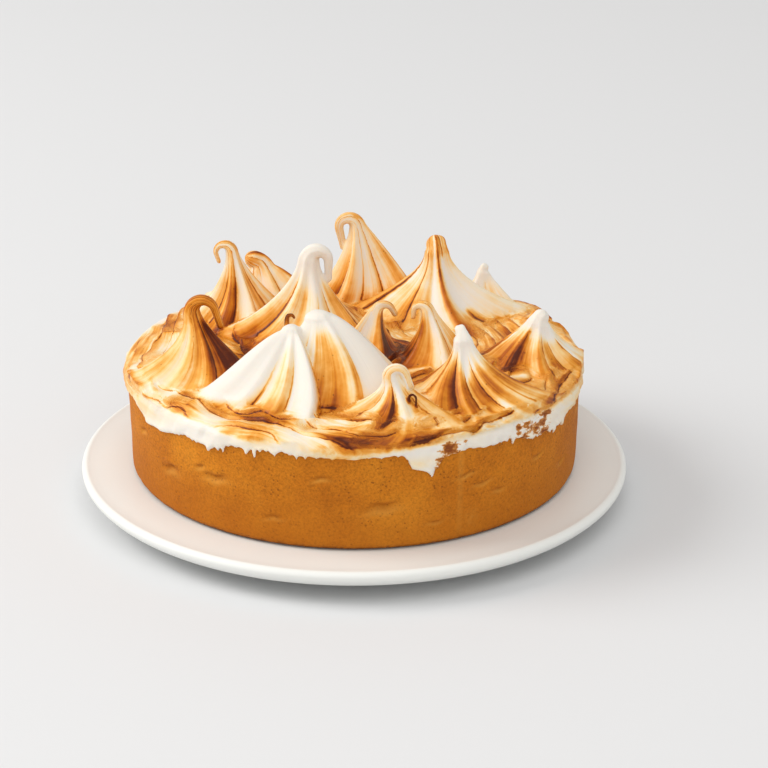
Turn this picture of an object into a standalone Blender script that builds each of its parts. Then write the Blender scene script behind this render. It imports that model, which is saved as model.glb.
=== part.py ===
"""Lemon meringue pie on its dinner plate.

A straight-sided shortcrust case stands on a low stoneware plate. Meringue covers it to the
edge, laps a little way down the case, and was pulled into peaks with the back of a spoon.
The pie is uncut, so the case with its hidden filling is one solid.

Frame: +Z up, -Y towards the front, origin on the floor under the plate's centre. Metres.
"""

import math
from dataclasses import dataclass

import bmesh
import bpy
import numpy as np
from mathutils import Matrix, Vector

MM = 0.001

# Driving dimensions
PLATE_RADIUS = 133.0 * MM
PLATE_TOP = 16.2 * MM
CASE_FOOT_RADIUS = 108.0 * MM
CASE_TOP_RADIUS = 109.3 * MM
CASE_HEIGHT = 49.5 * MM
MERINGUE_TOP = 105.0 * MM
CLEARANCE = 0.3 * MM

# Plate
PLATE_FOOT_RADIUS = 76.0 * MM
PLATE_FOOT_WIDTH = 5.0 * MM
PLATE_FOOT_RECESS = 3.0 * MM
PLATE_LIP_RISE = 0.9 * MM
PLATE_LIP_WIDTH = 4.5 * MM
PLATE_EDGE_THICKNESS = 8.5 * MM
PLATE_SEGMENTS = 64

# Case
CASE_BASE = PLATE_TOP + CLEARANCE
CASE_FOOT_ROUND = 3.5 * MM
CASE_RIM_ROUND = 2.5 * MM
CASE_SEGMENTS = 64
ROUND_STEPS = 4

# Meringue: heights are above the foot of the case
DECK_EDGE = 56.0 * MM
DECK_CENTRE = 60.0 * MM
DECK_FORWARD_RISE = 2.8 * MM
DECK_SHOULDER = 6.0 * MM
DECK_WAVE = 1.1 * MM
LAP_THICKNESS = 1.9 * MM
LAP_EDGE_ROUND = 0.9 * MM
FLANK_INSET = 0.5 * MM
DECK_SEGMENTS = 240
DECK_RINGS = 14
PEAK_SINK = 4.0 * MM
PEAK_COLUMNS = 48
BODY_ROWS = 14
CURL_ROWS = 14
CURL_TAPER = 2.0
TIP_ROWS = 3
VOXEL = 1.1 * MM
SOFTEN_PASSES = 3
KEEP_SHARE = 0.026

# How far the meringue laps down the case, in mm, at these bearings in degrees
LAP_KNOTS = (
    (0, 3), (22, 5), (41, 2.5), (58, 6.5), (79, 3), (96, 4.5), (113, 1.5), (131, 5),
    (152, 7), (170, 6), (190, 5), (200, 4), (209, 9), (214, 8.5), (226, 4.8), (233, 6),
    (241, 2), (252, 0.5), (262, 2.2), (270, 2.5), (281, 1.2), (285, 9), (289, 11.5),
    (292.5, 4), (298, 2.8), (304, 4.2), (310, 3.6), (318, 7), (328, 9), (337, 6.5), (348, 4.5),
)


@dataclass
class Peak:
    """One pulled peak. Lengths in mm, bearings in degrees from +X towards +Y."""

    foot: tuple  # centre of its foot, x and y
    reach: float  # radius of its foot
    top: float  # height of its neck above the foot of the case
    lean: tuple = (0, 0)  # how far its neck stands off the foot's centre
    flare: float = 1.6  # 1 is a straight cone, more is a hollow flank
    neck: float = 3.0  # radius where the flank ends and the curl begins
    tip: float = 1.2  # radius where the curl ends
    curl: tuple = (0, 40, 6)  # bearing it falls towards, degrees it turns, bend radius
    drop: float = 0.0  # how far it runs on straight after the bend
    ridges: tuple = ()  # (bearing, how far it stands out as a share of reach)
    twist: float = 0.0  # degrees the ridges turn on their way up


PEAKS = (
    # the wide fan at the front: its right lobe, the left one over it, and a hooked spur
    Peak((-14, -50), 35, 90.4, (-3, 0), 1.1, 5.2, 5.0, (20, 12, 6), 0,
         ((200, 0.1), (300, 0.12), (338, 0.26), (17, 0.14), (100, 0.1)), 8),
    Peak((-29, -56), 32, 87.0, (0.5, 1), 1.1, 3.0, 2.8, (20, 12, 4), 0,
         ((196, 0.50), (262, 0.10), (292, 0.22), (100, 0.1)), 6),
    Peak((-31, -51), 9, 91.5, (0, 2), 1.5, 1.5, 1.2, (10, 150, 1.6), 1, (), 0),
    # the tall white curl in the middle
    Peak((-23, 20), 38, 95.2, (1.0, 0), 1.7, 4.9, 1.8, (352, 178, 4.9), 9,
         ((190, 0.25), (235, 0.12), (285, 0.2), (335, 0.2), (60, 0.15), (130, 0.1)), 12),
    # the tall blunt peak at the back right
    Peak((42, 54), 44, 86, (-1, 1), 1.95, 5.4, 4.4, (100, 40, 6), 0,
         ((178, 0.3), (236, 0.1), (284, 0.3), (350, 0.35), (60, 0.2), (120, 0.15)), -10),
    # the looped curl at the back
    Peak((6, 84), 25, 90.4, (-4.6, 0), 1.3, 3.8, 1.8, (187, 180, 4.6), 10,
         ((345, 0.3), (250, 0.2), (200, 0.15), (90, 0.2)), 0),
    # the thin curl at the back left, and the shoulder behind it
    Peak((-57, 40), 27, 92.2, (-3, 0), 1.65, 3.0, 1.1, (182, 190, 3.9), 4,
         ((200, 0.2), (255, 0.15), (300, 0.2), (20, 0.2), (110, 0.2)), 6),
    Peak((-45, 62), 27, 76, (-2, 0), 1.15, 6.0, 4.5, (200, 60, 5), 0,
         ((345, 0.5), (300, 0.1), (120, 0.2), (190, 0.1)), 0),
    # the dark curl at the left
    Peak((-73, -26), 34, 84.2, (-3.7, 2), 1.7, 4.2, 1.8, (348, 178, 5.7), 9,
         ((200, 0.1), (228, 0.12), (258, 0.16), (288, 0.2), (340, 0.15), (90, 0.1)), 10),
    # the small looped peak at the very front
    Peak((20, -80), 27, 74.8, (-3.2, 0), 1.75, 3.5, 1.7, (350, 175, 3.6), 6,
         ((190, 0.45), (255, 0.1), (290, 0.1), (345, 0.4), (90, 0.2)), 0),
    # the fluted peak at the front right
    Peak((51, -56), 34, 84, (-1, 0), 1.8, 4.4, 2.6, (120, 45, 5), 0,
         ((240, 0.2), (268, 0.15), (300, 0.1), (325, 0.35), (345, 0.4), (60, 0.1)), -12),
    # the tongue in the middle
    Peak((7, -8), 17, 79, (4, 2), 1.2, 3.2, 1.6, (348, 140, 3.8), 3,
         ((215, 0.4), (300, 0.15), (30, 0.1)), 0),
    # the inward curl right of the middle
    Peak((38, -16), 22, 82.8, (-3.4, 0), 1.45, 3.4, 1.3, (175, 165, 3.2), 3,
         ((230, 0.2), (290, 0.2), (350, 0.2), (80, 0.1)), 8),
    # the rounded peak at the right edge
    Peak((86, -12), 28, 75, (2, 0), 1.4, 5.0, 3.6, (30, 40, 4), 0,
         ((180, 0.25), (225, 0.2), (275, 0.15), (335, 0.1), (10, 0.1), (90, 0.2)), 0),
    # the low scoop at the left edge
    Peak((-89, 8), 17, 65, (0, 0), 1.3, 5.0, 4.0, (180, 30, 4), 0, ((250, 0.3), (30, 0.2)), 0),
    # peaks at the far side
    Peak((65, 78), 18, 67, (0, 0), 1.25, 3.4, 2.2, (20, 30, 4), 0, ((230, 0.2), (330, 0.3)), 0),
    Peak((43, 91), 17, 65, (0, 0), 1.4, 3.0, 1.5, (80, 160, 3.2), 3, ((60, 0.3), (160, 0.3)), 0),
    Peak((-22, 89), 18, 64, (0, 0), 1.4, 3.0, 1.4, (120, 170, 3.2), 3, ((80, 0.3), (200, 0.2)), 0),
    Peak((-60, 75), 19, 62, (0, 0), 1.4, 3.2, 1.5, (140, 150, 3.4), 2, ((90, 0.3), (160, 0.3)), 0),
    Peak((88, 34), 19, 57, (0, 0), 1.4, 3.8, 2.4, (40, 60, 4), 0, ((20, 0.3), (120, 0.3)), 0),
)


def remove_everything():
    for thing in list(bpy.data.objects):
        bpy.data.objects.remove(thing)


def new_collection(name):
    collection = bpy.data.collections.new(name)
    bpy.context.scene.collection.children.link(collection)
    return collection


def material(name, colour, roughness):
    finish = bpy.data.materials.new(name)
    finish.use_nodes = True
    shader = finish.node_tree.nodes["Principled BSDF"]
    shader.inputs["Base Color"].default_value = (*colour, 1.0)
    shader.inputs["Roughness"].default_value = roughness
    shader.inputs["Metallic"].default_value = 0.0
    return finish


def add_object(name, mesh, finish, collection):
    thing = bpy.data.objects.new(name, mesh)
    mesh.materials.append(finish)
    collection.objects.link(thing)
    return thing


def arc(centre, radius, start, end, steps):
    """Points (r, z) of an arc in the profile plane, by angles in degrees."""
    angles = [math.radians(start + (end - start) * i / steps) for i in range(steps + 1)]
    return [(centre[0] + radius * math.cos(a), centre[1] + radius * math.sin(a)) for a in angles]


def turned(name, profile, segments, finish, collection):
    """A solid turned from a profile that starts and ends on the axis, running down outside."""
    mesh = bpy.data.meshes.new(name)
    points = [(r, 0.0, z) for r, z in profile]
    mesh.from_pydata(points, [(i, i + 1) for i in range(len(points) - 1)], [])
    thing = add_object(name, mesh, finish, collection)
    screw = thing.modifiers.new("Turn", "SCREW")
    screw.steps = segments
    screw.render_steps = segments
    screw.use_merge_vertices = True
    screw.merge_threshold = 0.01 * MM
    screw.use_smooth_shade = True
    return thing


def plate_profile():
    """A flat well, a low rounded lip, a drop edge that tucks under, and a foot ring."""
    lip_top = PLATE_TOP + PLATE_LIP_RISE
    lip_crest = PLATE_RADIUS - PLATE_LIP_WIDTH / 2
    edge_foot = PLATE_TOP - PLATE_EDGE_THICKNESS
    foot_inner = PLATE_FOOT_RADIUS - PLATE_FOOT_WIDTH
    foot_height = edge_foot - 2.5 * MM
    return [
        (0.0, PLATE_TOP),
        (PLATE_RADIUS - 4 * PLATE_LIP_WIDTH, PLATE_TOP),
        (PLATE_RADIUS - 2 * PLATE_LIP_WIDTH, PLATE_TOP + 0.35 * PLATE_LIP_RISE),
        (lip_crest - 0.6 * MM, lip_top - 0.1 * MM),
        (lip_crest, lip_top),
        (PLATE_RADIUS - 0.7 * MM, lip_top - 0.9 * MM),
        (PLATE_RADIUS, lip_top - 2.6 * MM),
        (PLATE_RADIUS - 1.2 * MM, lip_top - 5.2 * MM),
        (PLATE_RADIUS - 5.6 * MM, edge_foot + 0.6 * MM),
        (PLATE_RADIUS - 9.0 * MM, edge_foot),
        (PLATE_FOOT_RADIUS + 6.0 * MM, foot_height),
        (PLATE_FOOT_RADIUS + 0.6 * MM, 1.0 * MM),
        (PLATE_FOOT_RADIUS - 0.6 * MM, 0.0),
        (foot_inner + 0.6 * MM, 0.0),
        (foot_inner - 0.6 * MM, PLATE_FOOT_RECESS),
        (0.0, PLATE_FOOT_RECESS),
    ]


def case_profile(grow=0.0):
    """The case's outline, or the same outline standing proud of it by grow on every side."""
    top = CASE_BASE + CASE_HEIGHT + grow
    foot = CASE_BASE - grow
    rim = arc(
        (CASE_TOP_RADIUS - CASE_RIM_ROUND, top - grow - CASE_RIM_ROUND),
        CASE_RIM_ROUND + grow, 90, 0, ROUND_STEPS,
    )
    base = arc(
        (CASE_FOOT_RADIUS - CASE_FOOT_ROUND, foot + grow + CASE_FOOT_ROUND),
        CASE_FOOT_ROUND + grow, 0, -90, ROUND_STEPS,
    )
    return [(0.0, top), *rim, *base, (0.0, foot)]


def case_radius(height):
    """Radius of the case's wall at a height above its foot."""
    share = np.clip(height / CASE_HEIGHT, 0.0, 1.0)
    return CASE_FOOT_RADIUS + (CASE_TOP_RADIUS - CASE_FOOT_RADIUS) * share


def bearing_gap(a, b):
    """Smallest turn between two bearings, in degrees."""
    return (a - b + 180.0) % 360.0 - 180.0


def lap_depth(bearing):
    """How far the meringue laps down the case, smoothly between the knots, in metres."""
    at = np.array([k[0] for k in LAP_KNOTS], float)
    depth = np.array([k[1] for k in LAP_KNOTS], float)
    at = np.concatenate([at - 360, at, at + 360])
    depth = np.tile(depth, 3)
    right = np.searchsorted(at, bearing, side="right")
    share = (bearing - at[right - 1]) / (at[right] - at[right - 1])
    ease = share * share * (3 - 2 * share)
    return (depth[right - 1] * (1 - ease) + depth[right] * ease) * MM


def deck_height(x, y):
    """Top of the meringue between the peaks, above the foot of the case."""
    rise = (DECK_CENTRE - DECK_EDGE) * (1 - (x * x + y * y) / CASE_TOP_RADIUS**2)
    slope = -DECK_FORWARD_RISE * y / CASE_TOP_RADIUS
    wave = np.sin(x / (9 * MM) + 1.3) * np.sin(y / (8 * MM) - 0.4 + x / (23 * MM))
    return DECK_EDGE + rise + slope + DECK_WAVE * wave


def closed_rings(rings, first_pole, last_pole):
    """Points and faces of a closed skin through rings of equal length, ending in two poles."""
    count = len(rings[0])
    points = [first_pole, *[p for ring in rings for p in ring], last_pole]
    faces = []
    for i in range(count):
        j = (i + 1) % count
        faces.append((0, 1 + j, 1 + i))
        for row in range(len(rings) - 1):
            low, high = 1 + row * count, 1 + (row + 1) * count
            faces.append((low + i, low + j, high + j, high + i))
        last = 1 + (len(rings) - 1) * count
        faces.append((last + i, last + j, len(points) - 1))
    return points, faces


def deck_skin():
    """The slab under the peaks, with its uneven lap over the case. The case is cut out later."""
    bearings = np.arange(DECK_SEGMENTS) * 360.0 / DECK_SEGMENTS
    cos, sin = np.cos(np.radians(bearings)), np.sin(np.radians(bearings))
    lap_foot = CASE_HEIGHT - lap_depth(bearings)
    outer = case_radius(lap_foot) + LAP_THICKNESS
    edge = deck_height(outer * cos, outer * sin)
    rings = [
        (0.5 * outer, lap_foot),
        (outer - LAP_EDGE_ROUND, lap_foot),
        (outer, lap_foot + LAP_EDGE_ROUND),
        (outer, (lap_foot + edge - DECK_SHOULDER) / 2),
        (outer, edge - DECK_SHOULDER),
        (outer - 0.25 * DECK_SHOULDER, edge - 0.45 * DECK_SHOULDER),
        (outer - 0.7 * DECK_SHOULDER, edge - 0.1 * DECK_SHOULDER),
    ]
    for ring in range(1, DECK_RINGS):
        radius = (outer - 1.3 * DECK_SHOULDER) * (1 - ring / DECK_RINGS)
        rings.append((radius, deck_height(radius * cos, radius * sin)))
    skin = [np.column_stack([r * cos, r * sin, z + CASE_BASE]) for r, z in rings]
    middle = lap_foot.mean() + CASE_BASE
    crown = deck_height(0.0, 0.0) + CASE_BASE
    return closed_rings(skin, (0.0, 0.0, middle), (0.0, 0.0, crown))


def tilt(bearing, angle):
    """Rotation that leans an upright thing by angle towards a bearing, both in degrees."""
    heading = math.radians(bearing)
    axis = Vector((-math.sin(heading), math.cos(heading), 0.0))
    return Matrix.Rotation(math.radians(angle), 3, axis)


def flank_radii(peak, bearings, climb):
    """Radius of the flank at each bearing, at a share of the way from the foot to the neck."""
    stand_out = np.full(len(bearings), -0.12)
    for bearing, gain in peak.ridges:
        gap = np.abs(bearing_gap(bearings, bearing + peak.twist * climb))
        stand_out += (gain + 0.12) * np.exp(-((gap / 17.0) ** 1.3))
    foot = peak.reach * (1 + stand_out)
    hollow = peak.flare - 0.9 * np.clip(stand_out, -0.12, 0.35)
    ring = 1 + 0.6 * stand_out
    return (peak.neck * ring + (foot - peak.neck) * (1 - climb) ** hollow) * MM


def kept_on_case(points):
    """The points, drawn in where a flank would overhang the meringue's edge."""
    limit = CASE_TOP_RADIUS + LAP_THICKNESS - FLANK_INSET
    reach = np.hypot(points[:, 0], points[:, 1])
    share = np.minimum(1.0, limit / np.maximum(reach, limit))
    return points * np.column_stack([share, share, np.ones(len(points))])


def peak_skin(peak):
    """The closed skin of one peak: horizontal rings up its flank, then rings along its curl."""
    bearings = np.arange(PEAK_COLUMNS) * 360.0 / PEAK_COLUMNS
    circle = np.column_stack(
        [np.cos(np.radians(bearings)), np.sin(np.radians(bearings)), np.zeros(PEAK_COLUMNS)]
    )
    foot = np.array([*peak.foot, 0.0]) * MM
    lean = np.array([*peak.lean, 0.0]) * MM
    low = deck_height(foot[0], foot[1]) - PEAK_SINK
    high = peak.top * MM
    lean_length = math.hypot(*peak.lean)
    lean_bearing = math.degrees(math.atan2(peak.lean[1], peak.lean[0]))
    lean_angle = math.degrees(math.atan2(2 * lean_length * MM, high - low))
    rings = []
    for row in range(BODY_ROWS + 1):
        climb = row / BODY_ROWS
        centre = foot + lean * climb**2 + (0, 0, CASE_BASE + low + (high - low) * climb)
        turn = np.array(tilt(lean_bearing, lean_angle * climb**3))
        radii = flank_radii(peak, bearings, climb)
        rings.append(kept_on_case(centre + (circle * radii[:, None]) @ turn.T))
    bearing, total_turn, bend = peak.curl
    upright = tilt(lean_bearing, lean_angle)
    neck_radii = flank_radii(peak, bearings, 1.0)
    bent_length = math.radians(total_turn) * bend * MM
    length = bent_length + peak.drop * MM
    for row in range(1, CURL_ROWS + 1):
        along = row / CURL_ROWS
        turned_by = tilt(bearing, total_turn * min(1.0, along * length / bent_length)) @ upright
        centre = centre + np.array(turned_by @ Vector((0, 0, length / CURL_ROWS)))
        slim = peak.tip / peak.neck + (1 - peak.tip / peak.neck) * (1 - along) ** CURL_TAPER
        rings.append(centre + (circle * (neck_radii * slim)[:, None]) @ np.array(turned_by).T)
    ahead = np.array(turned_by @ Vector((0, 0, 1)))
    tip_radii = neck_radii * slim
    for row in range(1, TIP_ROWS + 1):
        angle = math.radians(90 * row / (TIP_ROWS + 1))
        place = centre + ahead * peak.tip * MM * math.sin(angle)
        rings.append(place + (circle * (tip_radii * math.cos(angle))[:, None]) @ np.array(turned_by).T)
    return closed_rings(rings, rings[0].mean(0), centre + ahead * peak.tip * MM)


def joined_skins(name, skins):
    """One mesh that holds several closed skins."""
    points, faces = [], []
    for skin_points, skin_faces in skins:
        start = len(points)
        points.extend(tuple(map(float, p)) for p in skin_points)
        faces.extend(tuple(start + i for i in face) for face in skin_faces)
    mesh = bpy.data.meshes.new(name)
    mesh.from_pydata(points, [], faces)
    shape = bmesh.new()
    shape.from_mesh(mesh)
    bmesh.ops.recalc_face_normals(shape, faces=shape.faces)
    shape.to_mesh(mesh)
    shape.free()
    return mesh


def make_meringue(finish, collection, case_cutter):
    """Deck and peaks grown together, then cut to sit on the case."""
    skins = [deck_skin(), *[peak_skin(peak) for peak in PEAKS]]
    meringue = add_object("meringue", joined_skins("meringue", skins), finish, collection)
    grow_together = meringue.modifiers.new("Grow together", "REMESH")
    grow_together.mode = "VOXEL"
    grow_together.voxel_size = VOXEL
    soften = meringue.modifiers.new("Soften", "SMOOTH")
    soften.factor = 0.5
    soften.iterations = SOFTEN_PASSES
    lighten = meringue.modifiers.new("Lighten", "DECIMATE")
    lighten.ratio = KEEP_SHARE
    seat = meringue.modifiers.new("Seat on the case", "BOOLEAN")
    seat.operation = "DIFFERENCE"
    seat.object = case_cutter
    return meringue


def main():
    remove_everything()
    pie = new_collection("lemon_meringue_pie")
    cutters = new_collection("cutters")
    stoneware = material("stoneware", (0.80, 0.76, 0.70), 0.35)
    pastry = material("pastry", (0.45, 0.16, 0.03), 0.75)
    toasted = material("toasted_meringue", (0.86, 0.62, 0.32), 0.55)
    turned("plate", plate_profile(), PLATE_SEGMENTS, stoneware, pie)
    turned("case", case_profile(), CASE_SEGMENTS, pastry, pie)
    cutter = turned("case_cutter", case_profile(CLEARANCE), CASE_SEGMENTS, pastry, cutters)
    cutter.hide_render = True
    cutter.display_type = "WIRE"
    make_meringue(toasted, pie, cutter)


main()
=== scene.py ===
"""A lemon meringue pie on a white dinner plate, built up as it is put together: the plate,
the baked pastry case, the torched meringue pulled into peaks, then the table and the light.
Lengths are in metres, heights of the meringue in millimetres above the foot of the case."""

import math

import bpy
import numpy as np
from mathutils import Matrix, Vector
from mathutils.kdtree import KDTree


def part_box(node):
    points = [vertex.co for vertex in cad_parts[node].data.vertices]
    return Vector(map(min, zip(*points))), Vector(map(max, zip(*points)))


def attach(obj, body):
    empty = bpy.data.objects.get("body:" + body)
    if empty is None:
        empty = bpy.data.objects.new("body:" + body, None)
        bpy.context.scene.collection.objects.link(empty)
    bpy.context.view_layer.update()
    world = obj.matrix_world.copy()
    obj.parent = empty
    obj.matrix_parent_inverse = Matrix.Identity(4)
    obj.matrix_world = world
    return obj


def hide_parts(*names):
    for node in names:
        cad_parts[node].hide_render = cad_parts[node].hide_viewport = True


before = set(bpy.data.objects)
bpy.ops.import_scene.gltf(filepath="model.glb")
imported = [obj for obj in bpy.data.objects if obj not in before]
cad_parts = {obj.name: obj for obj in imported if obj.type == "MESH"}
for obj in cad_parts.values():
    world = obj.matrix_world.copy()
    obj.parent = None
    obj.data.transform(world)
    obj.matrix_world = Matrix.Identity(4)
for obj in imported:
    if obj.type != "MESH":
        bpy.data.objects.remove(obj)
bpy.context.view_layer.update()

MM = 0.001

# ---------------------------------------------------------------- the plate
# A flat stoneware dinner plate with a low rounded lip. It was thrown thick, turned on a foot
# ring and dipped in a warm white satin glaze that runs a little thinner over the lip.

plate_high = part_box("plate")[1]
PLATE_RADIUS = plate_high.x
PLATE_HEIGHT = plate_high.z
PLATE_WELL = PLATE_HEIGHT - 0.9 * MM
GLAZE_WHITE = (0.85, 0.86, 0.83)
GLAZE_THIN = (0.83, 0.84, 0.81)


def select_all_of(piece):
    """Leaves only this piece selected and active, in edit mode with everything in it selected."""
    bpy.ops.object.select_all(action="DESELECT")
    piece.select_set(True)
    bpy.context.view_layer.objects.active = piece
    bpy.ops.object.mode_set(mode="EDIT")
    bpy.ops.mesh.select_all(action="SELECT")


def turn_piece(name, profile, segments):
    """Turns a closed piece: a disc at the axis is drawn out ring by ring along the profile."""
    bpy.ops.object.select_all(action="DESELECT")
    radius, height = profile[0]
    bpy.ops.mesh.primitive_circle_add(
        vertices=segments, radius=radius, fill_type="TRIFAN", location=(0, 0, height)
    )
    piece = bpy.context.object
    piece.name = name
    bpy.ops.object.transform_apply(location=True, rotation=True, scale=True)
    select_all_of(piece)
    bpy.ops.mesh.region_to_loop()
    bpy.context.tool_settings.mesh_select_mode = (False, True, False)
    for next_radius, next_height in profile[1:]:
        bpy.ops.mesh.extrude_edges_move(
            TRANSFORM_OT_translate={"value": (0, 0, next_height - height)}
        )
        share = next_radius / radius
        bpy.ops.transform.resize(
            value=(share, share, 1), center_override=(0, 0, next_height)
        )
        radius, height = next_radius, next_height
    bpy.ops.mesh.edge_face_add()
    bpy.ops.mesh.poke()
    bpy.ops.mesh.select_all(action="SELECT")
    bpy.ops.mesh.normals_make_consistent(inside=False)
    bpy.ops.object.mode_set(mode="OBJECT")
    bpy.ops.object.shade_smooth()
    return piece


def rounded(centre_radius, centre_height, radius, start, end, steps):
    """Profile points round an arc, from one angle to another in degrees."""
    angles = np.radians(np.linspace(start, end, steps + 1))
    return [
        (centre_radius + radius * math.cos(a), centre_height + radius * math.sin(a))
        for a in angles
    ]


def smooth_through(points, steps):
    """A smooth run of profile points through a few given ones (Catmull-Rom)."""
    padded = [points[0], *points, points[-1]]
    run = []
    for a, b, c, d in zip(padded, padded[1:], padded[2:], padded[3:]):
        a, b, c, d = (np.array(p) for p in (a, b, c, d))
        for step in range(steps):
            t = step / steps
            point = 0.5 * (
                2 * b + (c - a) * t + (2 * a - 5 * b + 4 * c - d) * t**2
                + (3 * b - 3 * c + d - a) * t**3
            )
            run.append((float(point[0]), float(point[1])))
    run.append(tuple(points[-1]))
    return run


plate_profile = [
    (20 * MM, PLATE_WELL),
    (90 * MM, PLATE_WELL),
    *smooth_through(
        [
            (112 * MM, PLATE_WELL),
            (PLATE_RADIUS - 9 * MM, PLATE_WELL + 0.25 * MM),
            (PLATE_RADIUS - 4.5 * MM, PLATE_HEIGHT - 0.3 * MM),
            (PLATE_RADIUS - 2.25 * MM, PLATE_HEIGHT),
            (PLATE_RADIUS - 0.6 * MM, PLATE_HEIGHT - 1.0 * MM),
            (PLATE_RADIUS, PLATE_HEIGHT - 2.7 * MM),
            (PLATE_RADIUS - 1.2 * MM, PLATE_HEIGHT - 5.3 * MM),
            (PLATE_RADIUS - 5.6 * MM, PLATE_HEIGHT - 8.6 * MM),
            (PLATE_RADIUS - 14 * MM, PLATE_HEIGHT - 10.4 * MM),
            (PLATE_RADIUS - 34 * MM, PLATE_HEIGHT - 12.0 * MM),
            (82 * MM, 4.0 * MM),
            (77 * MM, 1.4 * MM),
            (75.5 * MM, 0.05 * MM),
        ],
        5,
    ),
    (71.5 * MM, 0.0),
    (70.2 * MM, 1.2 * MM),
    (69.0 * MM, 3.0 * MM),
    (30 * MM, 3.0 * MM),
]
plate = turn_piece("plate_glazed", plate_profile, 192)


def new_material(piece, name, **settings):
    """Gives a piece a material: its node tree, its shader and the object's own coordinates."""
    material = bpy.data.materials.new(name)
    material.use_nodes = True
    piece.data.materials.append(material)
    tree = material.node_tree
    shader = set_inputs(tree.nodes["Principled BSDF"], **settings)
    return tree, shader, tree.nodes.new("ShaderNodeTexCoord").outputs["Object"]


def set_inputs(node, **settings):
    """Sets a node's inputs by name, with _ for each space."""
    for name, value in settings.items():
        node.inputs[name.replace("_", " ")].default_value = value
    return node


def noise_in(tree, vector, scale, detail, roughness=0.55):
    """Noise laid out along a vector."""
    noise = tree.nodes.new("ShaderNodeTexNoise")
    set_inputs(noise, Scale=scale, Detail=detail, Roughness=roughness)
    tree.links.new(vector, noise.inputs["Vector"])
    return noise.outputs["Fac"]


def ramp_in(tree, value, stops):
    """A ramp through (position, colour) stops, where a plain number stands for a grey."""
    ramp = tree.nodes.new("ShaderNodeValToRGB")
    elements = ramp.color_ramp.elements
    while len(elements) < len(stops):
        elements.new(0.5)
    for element, (position, colour) in zip(elements, stops):
        element.position = position
        colour = colour if isinstance(colour, tuple) else (colour,) * 3
        element.color = (*colour, 1.0)
    tree.links.new(value, ramp.inputs["Fac"])
    return ramp.outputs["Color"]


def bump_in(tree, shader, height, strength, distance):
    """Lets a height roughen the shader's normal."""
    bump = set_inputs(tree.nodes.new("ShaderNodeBump"), Strength=strength, Distance=distance)
    tree.links.new(height, bump.inputs["Height"])
    tree.links.new(bump.outputs["Normal"], shader.inputs["Normal"])


tree, shader, place = new_material(plate, "satin_glaze", Roughness=0.42, IOR=1.45)
cloud = noise_in(tree, place, 22.0, 3.0, 0.5)
tone = ramp_in(tree, cloud, [(0.3, GLAZE_THIN), (0.7, GLAZE_WHITE)])
tree.links.new(tone, shader.inputs["Base Color"])
orange_peel = noise_in(tree, place, 160.0, 2.0, 0.5)
bump_in(tree, shader, orange_peel, 0.12, 0.2 * MM)
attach(plate, "root")
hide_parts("plate")

# ---------------------------------------------------------------- the pastry case
# Sweet shortcrust, pressed into a straight metal ring and baked dark golden. The ring left the
# wall smooth, with pores, shallow dents and short cracks where the dough didn't quite meet it.

case_low, case_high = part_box("case")
CASE_FOOT = case_low.z
CASE_HEIGHT = case_high.z - case_low.z
CASE_TOP_RADIUS = case_high.x
CASE_FOOT_RADIUS = CASE_TOP_RADIUS - 1.3 * MM
CASE_SEGMENTS = 480
CASE_WALL_RINGS = 56
READING_RING = 110  # mm; uneven values round the wall are read off this circle


def uneven(x, y, seed, terms=6):
    """A smooth, irregular value about 0, between -1 and 1, that repeats nowhere nearby."""
    total = np.zeros(np.broadcast(x, y).shape)
    for term in range(terms):
        turn = seed * 1.7 + term * 2.39996
        pace = 0.75 + 0.5 * ((term * 0.61803 + seed * 0.37) % 1.0)
        total += np.sin(pace * (x * math.cos(turn) + y * math.sin(turn)) + 2.1 * term + seed)
    return total / (0.72 * terms)


def ring_at(bearings):
    """Where each bearing lies on the reading ring, so that values close up round the pie."""
    turns = np.radians(bearings)
    return np.cos(turns) * READING_RING, np.sin(turns) * READING_RING


def smooth_step(value, low, high):
    """Eases from 0 at the low value to 1 at the high one."""
    share = np.clip((value - low) / (high - low), 0.0, 1.0)
    return share * share * (3 - 2 * share)


def bearing_gap(a, b):
    """Degrees from one bearing to another, the short way round."""
    return (a - b + 180.0) % 360.0 - 180.0


def points_of(piece):
    """The piece's vertices as an array."""
    flat = np.empty(len(piece.data.vertices) * 3, np.float32)
    piece.data.vertices.foreach_get("co", flat)
    return flat.reshape(-1, 3).astype(float)


def place_points(piece, points):
    piece.data.vertices.foreach_set("co", points.astype(np.float32).ravel())
    piece.data.update()


wall = [
    (
        CASE_TOP_RADIUS + (CASE_FOOT_RADIUS - CASE_TOP_RADIUS) * step / CASE_WALL_RINGS,
        case_high.z - 2.5 * MM - (CASE_HEIGHT - 6 * MM) * step / CASE_WALL_RINGS,
    )
    for step in range(CASE_WALL_RINGS + 1)
]
case_profile = [
    (30 * MM, case_high.z),
    (90 * MM, case_high.z),
    *rounded(CASE_TOP_RADIUS - 2.5 * MM, case_high.z - 2.5 * MM, 2.5 * MM, 90, 12, 5),
    *wall,
    *rounded(CASE_FOOT_RADIUS - 3.2 * MM, CASE_FOOT + 3.2 * MM, 3.2 * MM, -8, -90, 8),
    (90 * MM, CASE_FOOT),
    (40 * MM, CASE_FOOT),
]
case = turn_piece("case_pastry", case_profile, CASE_SEGMENTS)

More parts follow.
